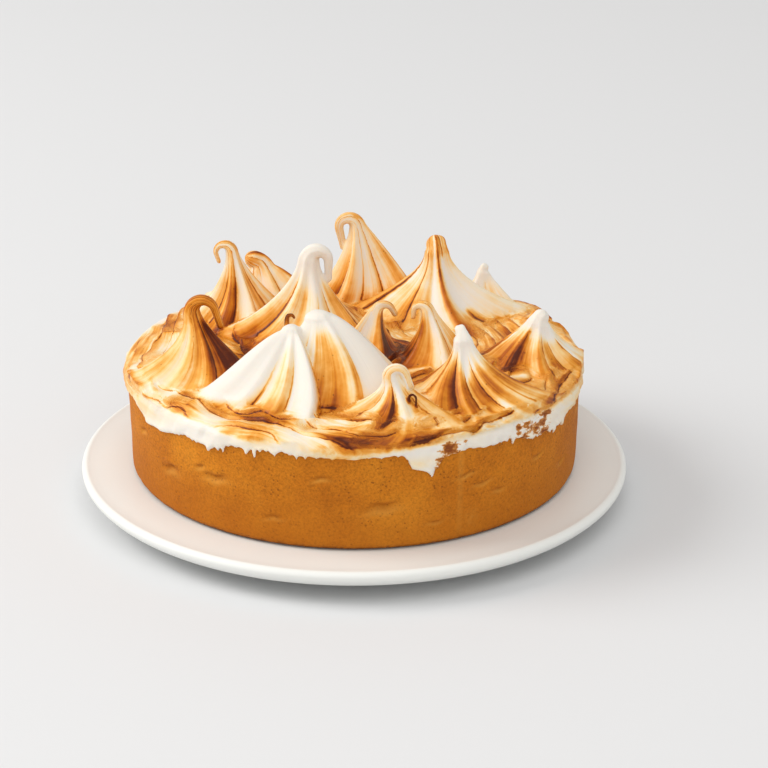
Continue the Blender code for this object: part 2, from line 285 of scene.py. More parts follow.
# bearing and height of each dent, its half length and half height, how deep, all mm but bearing
DENTS = (
    (277, 22, 6.5, 2.2, 1.0), (218, 23, 4.5, 1.9, 0.8), (234, 28, 5.5, 1.8, 0.8),
    (229, 31, 2.4, 1.1, 0.6),
    (298, 33, 3.6, 0.9, 0.5), (303, 27, 4.2, 0.8, 0.6), (308, 21, 3.0, 0.9, 0.5),
    (322, 30, 3.0, 0.8, 0.5), (250, 14, 3.5, 1.0, 0.4), (262, 36, 3.0, 1.0, 0.4),
    (204, 33, 3.0, 1.2, 0.5), (335, 18, 3.4, 1.0, 0.5), (20, 28, 5.0, 1.3, 0.7),
    (48, 17, 4.0, 1.0, 0.6), (75, 31, 5.2, 1.2, 0.7), (101, 22, 3.6, 1.1, 0.6),
    (124, 34, 4.4, 0.9, 0.5), (150, 19, 5.0, 1.4, 0.8), (172, 27, 3.8, 1.0, 0.5),
    (348, 36, 3.0, 0.9, 0.4), (290, 12, 3.2, 0.8, 0.4),
)
SEAM = 296.6  # bearing of the seam up the wall
skin_points = points_of(case)
reach = np.hypot(skin_points[:, 0], skin_points[:, 1])
bearing = np.degrees(np.arctan2(skin_points[:, 1], skin_points[:, 0])) % 360
height = (skin_points[:, 2] - CASE_FOOT) / MM
along = np.radians(bearing) * CASE_FOOT_RADIUS / MM
on_wall = (reach > CASE_FOOT_RADIUS - 4 * MM) * smooth_step(height, 0.0, 3.0)
sink = np.zeros(len(reach))
# painted shade for each dent's hollow, and a mask of painted highlights below each dent that also
# takes the seam's pale line and a paler patch
shaded = np.zeros(len(reach))
lit_and_pale = np.zeros(len(reach))
for dent_bearing, dent_height, half_length, half_height, depth in DENTS:
    sideways = np.radians(bearing_gap(bearing, dent_bearing)) * CASE_FOOT_RADIUS / MM
    tilt_up = height - dent_height - 0.12 * sideways + 0.5 * np.sin(sideways / 1.7 + dent_bearing)
    narrowing = (sideways / half_length) ** 2
    hollow = np.exp(-narrowing - np.abs(tilt_up / half_height) ** 3)
    lip = np.exp(-narrowing - ((tilt_up - 1.8 * half_height) / half_height) ** 2)
    sink += 1.9 * depth * (hollow - 0.3 * lip)
    level = tilt_up / half_height
    shaded = np.maximum(shaded, hollow * (0.4 + 0.6 * smooth_step(level, -0.2, 0.6)))
    lit_and_pale = np.maximum(lit_and_pale, np.exp(-0.6 * narrowing - ((level + 1.1) / 0.9) ** 2))
# where the strip that lined the ring overlapped itself
seam = np.exp(-((bearing_gap(bearing, SEAM) / 0.42) ** 2)) * smooth_step(height, 2.0, 6.0)
sink -= 0.22 * seam
# a pale line along the seam, in the same mask as the painted highlights
lit_and_pale = np.maximum(lit_and_pale, 0.8 * seam)
# a paler patch beside the seam, near the foot, in the same mask as the painted highlights
pale_patch = np.exp(-(((bearing - SEAM - 3.2) / 1.6) ** 2) - ((height - 10) / 4.5) ** 2)
lit_and_pale = np.maximum(lit_and_pale, pale_patch * (0.4 + 0.9 * uneven(along / 0.5, height / 0.5, 2.0)))
ring_x, ring_y = ring_at(bearing)
sink += 0.16 * uneven(ring_x / 9, ring_y / 9 + height / 7, 3.0)
sink += 0.10 * uneven(ring_x / 3.1, ring_y / 3.1 + height / 2.6, 8.0)
# the foot crumbles, and its very edge is burnt
crumbling = 1 - smooth_step(height, 0.6, 3.4)
sink += crumbling * (0.35 + 0.45 * uneven(ring_x / 1.6, ring_y / 1.6, 5.0))
inward = (sink * on_wall) * MM
share = 1 - inward / np.maximum(reach, 10 * MM)
skin_points[:, 0] *= share
skin_points[:, 1] *= share
place_points(case, skin_points)


def store_value(piece, name, values):
    """One number per vertex that a material can read."""
    layer = piece.data.attributes.new(name, "FLOAT", "POINT")
    layer.data.foreach_set("value", values.astype(np.float32))


# the dents' painted shade and painted highlights, as values for the material
store_value(case, "shaded", np.clip(shaded * on_wall, 0, 1))
store_value(case, "lit_and_pale", np.clip(lit_and_pale * on_wall, 0, 1))
burnt_foot = 1 - smooth_step(height + 0.9 * uneven(ring_x / 0.5, ring_y / 0.5, 6.0), 0.5, 2.2)
store_value(case, "foot", np.clip(burnt_foot * (reach > 95 * MM), 0, 1))
store_value(case, "rise", np.clip(height / (CASE_HEIGHT / MM), 0, 1))


def math_in(tree, operation, first, second):
    """Two values or sockets worked out by a math node, kept between 0 and 1."""
    node = tree.nodes.new("ShaderNodeMath")
    node.operation = operation
    node.use_clamp = True
    for socket, value in zip(node.inputs, (first, second)):
        if isinstance(value, (int, float)):
            socket.default_value = value
        else:
            tree.links.new(value, socket)
    return node.outputs[0]


def mix_in(tree, share, first, second, blend="MIX"):
    """Blends two colours by a share."""
    node = tree.nodes.new("ShaderNodeMix")
    node.data_type = "RGBA"
    node.blend_type = blend
    sockets = (node.inputs[0], node.inputs[6], node.inputs[7])
    for socket, value in zip(sockets, (share, first, second)):
        if isinstance(value, (int, float)):
            socket.default_value = value
        elif isinstance(value, tuple):
            socket.default_value = (*value, 1.0)
        else:
            tree.links.new(value, socket)
    return node.outputs[2]


def attribute_in(tree, name, output="Fac"):
    """A value stored on the piece's points."""
    node = tree.nodes.new("ShaderNodeAttribute")
    node.attribute_name = name
    return node.outputs[output]


def cells_in(tree, vector, scale):
    """Distance from the nearest of many scattered points."""
    cells = set_inputs(tree.nodes.new("ShaderNodeTexVoronoi"), Scale=scale)
    tree.links.new(vector, cells.inputs["Vector"])
    return cells.outputs["Distance"]


tree, shader, place = new_material(
    case, "baked_shortcrust", Roughness=0.7, IOR=1.4, Specular_IOR_Level=0.2
)
patches = noise_in(tree, place, 26.0, 4.0)
colour = ramp_in(tree, patches, [
    (0.30, (0.455, 0.130, 0.006)), (0.5, (0.56, 0.178, 0.009)), (0.72, (0.68, 0.243, 0.015)),
])
grain = noise_in(tree, place, 800.0, 3.0, 0.75)
grain_tone = ramp_in(tree, grain, [(0.30, 0.68), (0.5, 1.0), (0.72, 1.22)])
colour = mix_in(tree, 1.0, colour, grain_tone, "MULTIPLY")
pore_spots = ramp_in(tree, cells_in(tree, place, 430.0), [(0.12, 1.0), (0.24, 0.0)])
pore_places = noise_in(tree, place, 70.0, 2.0)
pore_fields = ramp_in(tree, pore_places, [(0.42, 0.0), (0.58, 1.0)])
pore_mask = math_in(tree, "MULTIPLY", pore_spots, pore_fields)
low_share = ramp_in(tree, attribute_in(tree, "rise"), [(0.0, 0.62), (0.7, 0.0)])
# the pores, painted shade in each dent's hollow and a painted highlight below it (the highlight
# mask also holds the seam's pale line and a paler patch), the darker foot and its burnt edge
for share, most, tint in (
    (pore_mask, 0.7, (0.17, 0.045, 0.005)),
    (attribute_in(tree, "shaded"), 0.65, (0.24, 0.065, 0.004)),
    (attribute_in(tree, "lit_and_pale"), 0.5, (0.76, 0.36, 0.06)),
    (low_share, 1.0, (0.40, 0.115, 0.006)),
    (attribute_in(tree, "foot"), 0.75, (0.13, 0.038, 0.008)),
):
    colour = mix_in(tree, math_in(tree, "MULTIPLY", share, most), colour, tint)
tree.links.new(colour, shader.inputs["Base Color"])
relief = math_in(tree, "SUBTRACT", grain, math_in(tree, "MULTIPLY", pore_mask, 0.5))
bump_in(tree, shader, relief, 0.55, 0.5 * MM)
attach(case, "root")
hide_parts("case")

# ---------------------------------------------------------------- the meringue
# Whipped egg white spread thickly to the edge and a little way down the wall, then pulled up
# with the back of a spoon. Each pull leaves a fluted flank and a tip that falls over in a
# curl. A torch browned whatever stood out and left white what the folds hid.

# mm, above the foot of the case
DECK_EDGE = 54.6
DECK_CENTRE = 57.5
DECK_FORWARD_RISE = 2.8  # how much lower the deck lies at the far side than at the front
SHOULDER = 6.5  # radius of the deck's rounded edge
LAP_THICKNESS = 1.9
CASE_GAP = 0.3
LAP_SHARE = 0.48  # share of the deck's ball that forms its lap and shoulder
SHEET_SPACING = 7.5  # from one stroke of the spoon to the next
STROKE_HEIGHT = 2.7
TOP_RADIUS = CASE_TOP_RADIUS / MM
FOOT_RADIUS = CASE_FOOT_RADIUS / MM
WALL_HEIGHT = CASE_HEIGHT / MM
PEAK_SINK = 4.0  # how deep a pull's foot lies in the deck
BODY_SHARE = 0.62  # share of a pull's stations that lie on its flank, below the curl
TIP_FROM = 0.93  # share from which a pull's tip rounds off
VOXEL = 0.62 * MM
KEEP_TRIANGLES = 176000

# how far the meringue laps down the wall, mm, at these bearings
LAP_KNOTS = (
    (0, 3), (22, 5), (41, 2.5), (58, 6.5), (79, 3), (96, 4.5), (113, 1.5), (131, 5),
    (152, 7), (170, 6), (190, 5), (200, 4), (209, 9), (214, 8.5), (226, 4.8), (233, 6),
    (241, 2), (252, 0.5), (262, 2.2), (270, 2.5), (281, 1.2), (285, 9), (289, 11.5),
    (292.5, 4), (298, 2.8), (304, 4.2), (310, 3.6), (318, 7), (328, 9), (337, 6.5), (348, 4.5),
)

# where the lap's edge is torn ragged, and where crumbs of the wall were dragged into it
# (bearing, half width, amount)
TORN = (
    (244, 14, 1.0), (288, 6, 0.35), (318, 20, 0.6), (25, 20, 0.8), (75, 12, 0.5), (120, 18, 0.9),
    (168, 12, 0.6),
)
CRUMBS = ((318, 15, 1.12), (293, 7, 1.0), (24, 12, 0.8), (121, 10, 0.8))


def pull(**sizes):
    """The sizes of one pull of the spoon; those that aren't given are nought."""
    nought = dict.fromkeys(("drop", "dome", "twist", "sweep", "torn"), 0)
    return {"lean": (0, 0), "marks": (), **nought, **sizes}


# foot: centre of its foot; reach: radius of its foot; top: height of its neck; lean: how far the
# neck stands off the foot's centre; flare: how hollow the flank is; neck and tip: radii where
# the curl begins and ends; curl: bearing it falls to, degrees it turns and bend radius; drop:
# how far it hangs on after the bend; dome: slant in degrees at which a blunt tip rounds off the
# flank; ridges: (bearing, share it stands out, half width); twist: degrees the folds turn on
# their way up; sweep: degrees they swing round at the foot; flutes: how many fine folds run up
# it, and how deep; torn: how ragged its tip broke off; toast: how brown it is at the foot, half
# way and at the tip; marks, burnt or left bare: (bearing, half width, from, to, change of toast)
# between two shares of its height. Lengths in mm.
PEAKS = (
    # the wide white fan at the front: its right lobe, then the left one that lies over it
    pull(foot=(-14, -50), reach=36, top=92.4, lean=(-3, 0), flare=1.02, neck=6.2, tip=6.2,
         curl=(20, 8, 4), dome=42, twist=8, sweep=12, flutes=(9, 0.04),
         ridges=((200, 0.1, 20), (300, 0.12, 18), (338, 0.26, 22), (17, 0.14, 24), (100, 0.1, 24)),
         toast=(0.46, 0.30, 0.04),
         marks=((272, 24, 0.0, 0.85, 0.38), (334, 30, 0.12, 1.0, -0.45),
                (304, 3.5, 0.05, 0.85, 0.4))),
    pull(foot=(-29, -56), reach=32, top=88.2, lean=(0.5, 1), flare=1.06, neck=4.0, tip=4.0,
         curl=(20, 8, 4), dome=38, twist=6, sweep=14, flutes=(8, 0.04),
         ridges=((196, 0.50, 22), (228, 0.05, 14), (262, 0.10, 16), (292, 0.22, 14),
                 (100, 0.1, 24)),
         toast=(0.50, 0.26, 0.06),
         marks=((208, 26, 0.16, 0.95, -0.50), (258, 13, 0.0, 0.8, 0.16), (287, 11, 0.1, 1.0, -0.40),
                (303, 4, 0.0, 0.9, 0.5))),
    # the hooked spur on the fan's left shoulder
    pull(foot=(-31, -51), reach=9, top=91.5, lean=(0, 2), flare=1.6, neck=1.2, tip=0.8,
         curl=(10, 150, 1.5), drop=1, flutes=(5, 0.03),
         ridges=((200, 0.2, 30),), toast=(0.10, 0.20, 0.75)),
    # the tall white curl in the middle
    pull(foot=(-23, 20), reach=40, top=95.2, lean=(1, 0), flare=1.85, neck=4.9, tip=1.8,
         curl=(352, 178, 4.9), drop=9, twist=14, sweep=20, flutes=(10, 0.07),
         ridges=((190, 0.25, 20), (235, 0.10, 14), (285, 0.18, 16), (335, 0.2, 18),
                 (60, 0.15, 20), (130, 0.1, 20)),
         toast=(0.54, 0.40, 0.04),
         marks=((290, 24, 0.3, 1.0, -0.22), (330, 12, 0.05, 0.7, 0.25), (220, 16, 0.0, 0.5, 0.2),
                (256, 5, 0.05, 0.6, 0.2))),
    # the tall blunt peak at the back right
    pull(foot=(42, 54), reach=45, top=86, lean=(-1, 1), flare=2.05, neck=5.4, tip=4.4,
         curl=(100, 40, 6), twist=-10, sweep=-16, flutes=(8, 0.05),
         ridges=((178, 0.3, 22), (236, 0.1, 14), (284, 0.28, 12), (350, 0.35, 22),
                 (60, 0.2, 22), (120, 0.15, 20)),
         toast=(0.56, 0.42, 0.46),
         marks=((284, 7, 0.1, 1.0, 0.30), (265, 9, 0.25, 1.0, -0.55), (306, 14, 0.3, 0.95, -0.55),
                (230, 16, 0.05, 0.5, 0.15), (335, 14, 0.2, 0.8, -0.25))),
    # the looped curl at the back
    pull(foot=(6, 84), reach=26, top=90.4, lean=(-4.6, 0), flare=1.35, neck=3.8, tip=1.8,
         curl=(187, 180, 4.6), drop=10, sweep=12, flutes=(8, 0.09),
         ridges=((345, 0.3, 20), (250, 0.2, 16), (200, 0.15, 18), (90, 0.2, 22)),
         toast=(0.54, 0.31, 0.20), marks=((300, 10, 0.1, 0.9, 0.15), (265, 9, 0.0, 0.7, -0.20),
                                          (335, 14, 0.1, 1.0, 0.2))),
    # the thin curl at the back left, and the shoulder behind it
    pull(foot=(-57, 40), reach=28, top=92.2, lean=(-3, 0), flare=1.75, neck=3.0, tip=1.1,
         curl=(182, 190, 3.9), drop=4, twist=6, sweep=16, flutes=(8, 0.08),
         ridges=((200, 0.2, 18), (255, 0.15, 14), (300, 0.2, 16), (20, 0.2, 20), (110, 0.2, 20)),
         toast=(0.62, 0.42, 0.28), marks=((262, 12, 0.0, 0.6, 0.15), (290, 14, 0.2, 1.0, -0.30))),
    pull(foot=(-45, 62), reach=27, top=76, lean=(-2, 0), flare=1.15, neck=6.0, tip=4.5,
         curl=(200, 60, 5), sweep=8, flutes=(8, 0.05),
         ridges=((345, 0.5, 22), (300, 0.1, 14), (120, 0.2, 20), (190, 0.1, 20)),
         toast=(0.52, 0.30, 0.34), marks=((345, 7, 0.2, 1.0, 0.5), (275, 24, 0.1, 0.9, -0.22))),
    # the dark curl at the left
    pull(foot=(-73, -26), reach=35, top=84.2, lean=(-3.7, 2), flare=1.8, neck=4.2, tip=1.8,
         curl=(348, 178, 5.7), drop=9, twist=10, sweep=18, flutes=(7, 0.05),
         ridges=((200, 0.1, 16), (228, 0.12, 13), (258, 0.16, 13), (288, 0.2, 14),
                 (340, 0.15, 18), (90, 0.1, 20)),
         toast=(0.32, 0.36, 0.44),
         marks=((243, 12, 0.0, 0.9, -0.16), (280, 12, 0.1, 0.9, 0.06), (320, 24, 0.0, 0.85, 0.42))),
    # the small looped peak at the very front
    pull(foot=(20, -80), reach=29, top=74.8, lean=(-3.2, 0), flare=1.95, neck=3.5, tip=1.7,
         curl=(350, 175, 3.6), drop=6, sweep=20, flutes=(8, 0.06),
         ridges=((190, 0.45, 20), (255, 0.1, 14), (290, 0.1, 14), (345, 0.4, 20), (90, 0.2, 20)),
         toast=(0.62, 0.50, 0.20),
         marks=((222, 10, 0.2, 0.9, -0.25), (268, 24, 0.0, 0.5, 0.2), (295, 16, 0.3, 1.0, -0.35))),
    # a thread of it that fell over to the right
    pull(foot=(25, -87), reach=1.7, top=67.5, flare=1.0, neck=0.8, tip=0.65,
         curl=(335, 180, 1.8), drop=5.5, flutes=(3, 0.0), ridges=(),
         toast=(0.8, 0.85, 0.9)),
    # the fluted peak at the front right
    pull(foot=(51, -56), reach=36, top=84, lean=(-1, 0), flare=2.0, neck=4.4, tip=2.6,
         curl=(120, 45, 5), twist=-12, sweep=-22, flutes=(12, 0.085), torn=2.2,
         ridges=((240, 0.2, 14), (268, 0.15, 12), (300, 0.1, 13), (325, 0.32, 16),
                 (345, 0.35, 16), (60, 0.1, 20)),
         toast=(0.58, 0.54, 0.0),
         marks=((283, 12, 0.5, 1.0, -0.5), (198, 20, 0.05, 0.6, -0.3),
                (258, 8, 0.0, 0.7, 0.06), (345, 14, 0.1, 0.7, 0.1),
                (302, 18, 0.0, 0.6, 0.22))),
    # the tongue in the middle
    pull(foot=(7, -8), reach=17, top=79, lean=(4, 2), flare=1.35, neck=3.2, tip=1.6,
         curl=(348, 140, 3.8), drop=3, sweep=10, flutes=(7, 0.05),
         ridges=((215, 0.4, 20), (300, 0.15, 16), (30, 0.1, 20)),
         toast=(0.50, 0.30, 0.24), marks=((330, 32, 0.0, 0.9, 0.6), (240, 18, 0.2, 1.0, -0.25))),
    # the inward curl right of the middle
    pull(foot=(38, -16), reach=23, top=82.8, lean=(-3.4, 0), flare=1.5, neck=3.4, tip=1.3,
         curl=(175, 165, 3.2), drop=3, twist=8, sweep=14, flutes=(8, 0.06),
         ridges=((230, 0.2, 16), (290, 0.2, 16), (350, 0.2, 18), (80, 0.1, 20)),
         toast=(0.54, 0.34, 0.26), marks=((215, 28, 0.0, 0.85, 0.45), (280, 14, 0.2, 1.0, -0.3))),
    # the rounded peak at the right edge
    pull(foot=(86, -12), reach=29, top=75, lean=(2, 0), flare=1.5, neck=5.0, tip=3.6,
         curl=(30, 40, 4), sweep=-14, flutes=(10, 0.06),
         ridges=((180, 0.25, 20), (225, 0.2, 16), (275, 0.15, 13), (335, 0.1, 16),
                 (10, 0.15, 22), (90, 0.2, 20)),
         toast=(0.58, 0.58, 0.04),
         marks=((218, 40, 0.25, 0.88, 0.20), (320, 30, 0.35, 1.0, -0.3),
                (262, 7, 0.1, 0.8, -0.25), (245, 10, 0.1, 0.8, 0.1))),
    # lesser pulls at the far side
    pull(foot=(65, 78), reach=19, top=67, flare=1.5, neck=3.4, tip=2.2,
         curl=(20, 30, 4), sweep=10, flutes=(8, 0.08), torn=2.4,
         ridges=((230, 0.2, 18), (330, 0.3, 20)), toast=(0.50, 0.24, 0.04),
         marks=((250, 20, 0.1, 0.9, -0.2),)),
    pull(foot=(43, 91), reach=19, top=65, flare=1.6, neck=3.0, tip=1.5,
         curl=(80, 160, 3.2), drop=3, sweep=14, flutes=(8, 0.08),
         ridges=((60, 0.3, 18), (160, 0.3, 18)), toast=(0.6, 0.35, 0.1)),
    pull(foot=(-22, 89), reach=20, top=64, flare=1.6, neck=3.0, tip=1.4,
         curl=(120, 170, 3.2), drop=3, sweep=-14, flutes=(8, 0.08),
         ridges=((80, 0.3, 18), (200, 0.2, 18)), toast=(0.55, 0.4, 0.2)),
    pull(foot=(-60, 75), reach=21, top=62, flare=1.6, neck=3.2, tip=1.5,
         curl=(140, 150, 3.4), drop=2, sweep=14, flutes=(8, 0.08),
         ridges=((90, 0.3, 18), (160, 0.3, 18)), toast=(0.6, 0.4, 0.1)),
    pull(foot=(88, 34), reach=21, top=57, flare=1.6, neck=3.8, tip=2.4,
         curl=(40, 60, 4), sweep=12, flutes=(8, 0.08),
         ridges=((20, 0.3, 18), (120, 0.3, 18)), toast=(0.6, 0.45, 0.3)),
)

# Scoops left by the spoon between the pulls: middle, half length and half width, the way it
# runs in degrees, height of its lip, and the bearing its lip stands highest on.
SCOOPS = (
    (-90, 8, 14, 9, 100, 2.8, 60), (-84, -52, 15, 7, 130, 2.6, 120),
    (-58, -80, 20, 7, 150, 2.4, 80),
    (-14, -98, 22, 6, 178, 2.2, 90), (42, -96, 18, 6, 15, 2.2, 110), (78, -66, 16, 8, 48, 1.8, 170),
    (68, -36, 19, 5, 12, 0.9, 250), (98, -38, 12, 6, 80, 1.5, 140), (-2, -34, 14, 7, 60, 2.4, 130),
    (-48, -6, 15, 8, 20, 2.6, 90), (10, 36, 16, 8, 160, 2.4, 300),
    (-88, 38, 14, 8, 110, 1.2, 20), (-30, 68, 13, 7, 30, 2.4, 270),
    (20, 100, 16, 6, 0, 2.2, 270), (-74, 60, 12, 8, 140, 2.6, 330),
)

# middle and radius, in mm, of the stretch of deck that the spoon left smoother
CALM_DECK = (70, 14, 26)


def unswept(peak, bearings, climb):
    """Bearings with the twist of the folds, and their sweep at the foot, taken out."""
    return bearings - peak["twist"] * climb + peak["sweep"] * (1 - climb) ** 3


def flute_phase(peak, straight):
    """Counts the folds round a pull, from its far side: at each whole number lies a crease."""
    turn = np.radians((straight - 90) % 360)
    seed = peak["foot"][0] * 0.7 + peak["foot"][1]
    wander = turn + 0.20 * np.sin(2 * turn + seed) + 0.13 * np.sin(3 * turn + 2 * seed)
    return peak["flutes"][0] * wander / (2 * math.pi)


def stand_out(peak, bearings, climb):
    """How far ridges and fine flutes stand out of a round flank, as a share of its radius."""
    rise = np.full(np.shape(bearings), -0.12)
    straight = unswept(peak, bearings, climb)
    for ridge, gain, half_width in peak["ridges"]:
        gap = bearing_gap(straight, ridge)
        rise = rise + (gain + 0.12) * np.exp(-((np.abs(gap) / half_width) ** 1.6))
    phase = flute_phase(peak, straight)
    folds = np.abs(np.sin(math.pi * phase)) - 0.6
    strength = peak["flutes"][1] * (0.9 + 0.6 * np.sin(5 * np.radians(straight) + peak["foot"][0]))
    return rise + strength * folds


def flank_radii(peak, bearings, climb):
    """Radius of the flank at each bearing, at a share of the way from the foot to the neck."""
    out = stand_out(peak, bearings, climb)
    foot = peak["reach"] * (1 + out)
    hollow = peak["flare"] - 0.9 * np.clip(out, -0.12, 0.35)
    neck = peak["neck"] * (1 + 0.6 * out)
    spread = 0.16 * foot * np.exp(-climb / 0.07)
    return neck + (foot - neck) * (1 - climb) ** hollow + spread


def stroke_path(x, y):
    """The spoon's strokes run along the lines where this value, in mm, stays the same."""
    turn = np.arctan2(y, x)
    path = np.hypot(x, y) + 5 * np.sin(2 * turn + 0.6) + 2.5 * np.sin(5 * turn - 1)
    return path + 4 * np.sin(x / 19 + 1) * np.sin(y / 16 - 0.5)


def sheet_phase(x, y):
    """Counts the sheets that the spoon laid over each other: at each whole number one ends."""
    waver = 0.5 * uneven(x / 8, y / 8, 2.0) + 0.22 * uneven(x / 3, y / 3, 5.0)
    return stroke_path(x, y) / SHEET_SPACING + waver


def deck_height(x, y):
    """Top of the meringue between the peaks: domed, drawn up towards each peak, and stroked."""
    reach = np.hypot(x, y)
    level = DECK_EDGE + (DECK_CENTRE - DECK_EDGE) * (1 - (reach / TOP_RADIUS) ** 2)
    level = level - DECK_FORWARD_RISE * y / TOP_RADIUS
    drawn = np.zeros(np.shape(reach))
    for peak in PEAKS:
        off_x, off_y = x - peak["foot"][0], y - peak["foot"][1]
        around = np.degrees(np.arctan2(off_y, off_x))
        foot = peak["reach"] * (1.02 + stand_out(peak, around, 0.0))
        near = np.exp(-1.6 * (np.hypot(off_x, off_y) / foot) ** 2)
        drawn = np.maximum(drawn, 5.5 * near)
    return level + drawn


def spoon_relief(x, y):
    """What the spoon left between the pulls: scoops with a raised lip, strokes and lumps, in mm."""
    scooped = np.zeros(np.shape(x))
    for middle_x, middle_y, long, wide, heading, lip, highest in SCOOPS:
        off_x, off_y = x - middle_x, y - middle_y
        cos, sin = math.cos(math.radians(heading)), math.sin(math.radians(heading))
        out = np.hypot((off_x * cos + off_y * sin) / long, (off_y * cos - off_x * sin) / wide)
        toward = np.cos(np.arctan2(off_y, off_x) - math.radians(highest))
        rim = np.exp(-(((out - 1) / np.where(out < 1, 0.30, 0.13)) ** 2))
        scooped += lip * rim * np.clip(0.35 + 0.65 * toward, 0, 1)
        scooped -= 0.45 * lip * np.exp(-((out / 0.8) ** 4))
    share = sheet_phase(x, y) % 1.0
    sheet = share**1.5 * (1 - smooth_step(share, 0.84, 1.0))
    strength = np.clip(0.75 + 0.9 * uneven(x / 12, y / 12, 6.0), 0.1, 1.6)
    calm = np.exp(-((x - CALM_DECK[0]) ** 2 + (y - CALM_DECK[1]) ** 2) / CALM_DECK[2] ** 2)
    strokes = STROKE_HEIGHT * strength * sheet * (1 - 0.8 * calm)
    lumps = 0.7 * uneven(x / 6.5, y / 6.5, 12.0) + 0.45 * uneven(x / 1.9, y / 1.9, 4.0)
    return scooped + strokes + lumps - 1.0


def case_radius(height):
    share = np.clip(height / WALL_HEIGHT, 0, 1)
    return FOOT_RADIUS + (TOP_RADIUS - FOOT_RADIUS) * share


def lap_depth(bearings):
    """How far the meringue laps down the wall at each bearing, with its torn edge, in mm."""
    at = np.array([k[0] for k in LAP_KNOTS], float)
    depth = np.array([k[1] for k in LAP_KNOTS], float)
    at = np.concatenate([at - 360, at, at + 360])
    depth = np.tile(depth, 3)
    right = np.searchsorted(at, bearings, side="right")
    share = (bearings - at[right - 1]) / (at[right] - at[right - 1])
    ease = share * share * (3 - 2 * share)
    smooth = depth[right - 1] * (1 - ease) + depth[right] * ease
    ring_x, ring_y = ring_at(bearings)
    tears = 2.2 * np.clip(uneven(ring_x / 1.5, ring_y / 1.5, 1.0), 0, 1) ** 2
    tears += 0.9 * np.abs(uneven(ring_x / 0.9, ring_y / 0.9, 4.0)) ** 1.5
    tears += 3.4 * np.clip(uneven(ring_x / 0.44, ring_y / 0.44, 9.0), 0, 1) ** 2
    return smooth + (0.2 + 1.9 * bumps(bearings, TORN)) * tears


def bumps(bearings, places):
    """A value round the pie that rises at given (bearing, half width, amount) places."""
    total = np.zeros(np.shape(bearings))
    for place_bearing, half_width, amount in places:
        gap = bearing_gap(bearings, place_bearing) / half_width
        total = total + amount * np.exp(-(gap**2))
    return total


def finish_with(piece, kind, **settings):
    """Adds a modifier with these settings and applies it."""
    modifier = piece.modifiers.new(kind, kind)
    for name, value in settings.items():
        setattr(modifier, name, value)
    bpy.ops.object.modifier_apply(modifier=modifier.name)


def wrapped_ball(name, columns, rings, cuts, place_at):
    """A primitive ball, cut finer, whose rings are laid along a form by bearing and share."""
    bpy.ops.object.select_all(action="DESELECT")
    bpy.ops.mesh.primitive_uv_sphere_add(segments=columns, ring_count=rings, radius=1.0)
    piece = bpy.context.object
    piece.name = name
    finish_with(piece, "SUBSURF", subdivision_type="SIMPLE", levels=cuts, render_levels=cuts)
    ball = points_of(piece)
    share = 1 - np.arccos(np.clip(ball[:, 2], -1, 1)) / math.pi
    bearings = np.degrees(np.arctan2(ball[:, 1], ball[:, 0])) % 360
    place_points(piece, place_at(bearings, share))
    return piece


def tilted(bearing, angle):
    """Rotation that leans an upright thing by angle towards a bearing, both in degrees."""
    heading = math.radians(bearing)
    axis = Vector((-math.sin(heading), math.cos(heading), 0.0))
    return np.array(Matrix.Rotation(math.radians(angle), 3, axis))


def spine_of(peak, samples=160):
    """Stations up a peak: centre, tilt, climb and how slim it is there, from foot to tip."""
    foot = np.array([*peak["foot"], 0.0])
    lean = np.array([*peak["lean"], 0.0])
    low = peak["base"] - PEAK_SINK
    high = peak["top"]
    lean_length = math.hypot(*peak["lean"])
    lean_bearing = math.degrees(math.atan2(peak["lean"][1], peak["lean"][0]))
    lean_angle = math.degrees(math.atan2(2 * lean_length, high - low))
    body = int(samples * BODY_SHARE)
    stations = []
    for row in range(body + 1):
        climb = row / body
        centre = foot + lean * climb**2 + (0, 0, low + (high - low) * climb)
        stations.append((centre, tilted(lean_bearing, lean_angle * climb**3), climb, 1.0))
    curl_bearing, total_turn, bend = peak["curl"]
    upright = tilted(lean_bearing, lean_angle)
    bent = math.radians(total_turn) * bend
    length = bent + peak["drop"]
    rows = samples - body
    for row in range(1, rows + 1):
        along = row / rows
        turn = tilted(curl_bearing, total_turn * min(1.0, along * length / bent)) @ upright
        centre = centre + turn @ np.array([0, 0, length / rows])
        slim = peak["tip"] / peak["neck"] + (1 - peak["tip"] / peak["neck"]) * (1 - along) ** 2.0
        stations.append((centre, turn, 1.0 + along, slim))
    return stations


def kept_on_case(points):
    """Draws in what would overhang the meringue's edge."""
    limit = TOP_RADIUS + LAP_THICKNESS - 0.5
    reach = np.hypot(points[:, 0], points[:, 1])
    share = np.minimum(1.0, limit / np.maximum(reach, limit))
    return points * np.column_stack([share, share, np.ones(len(points))])


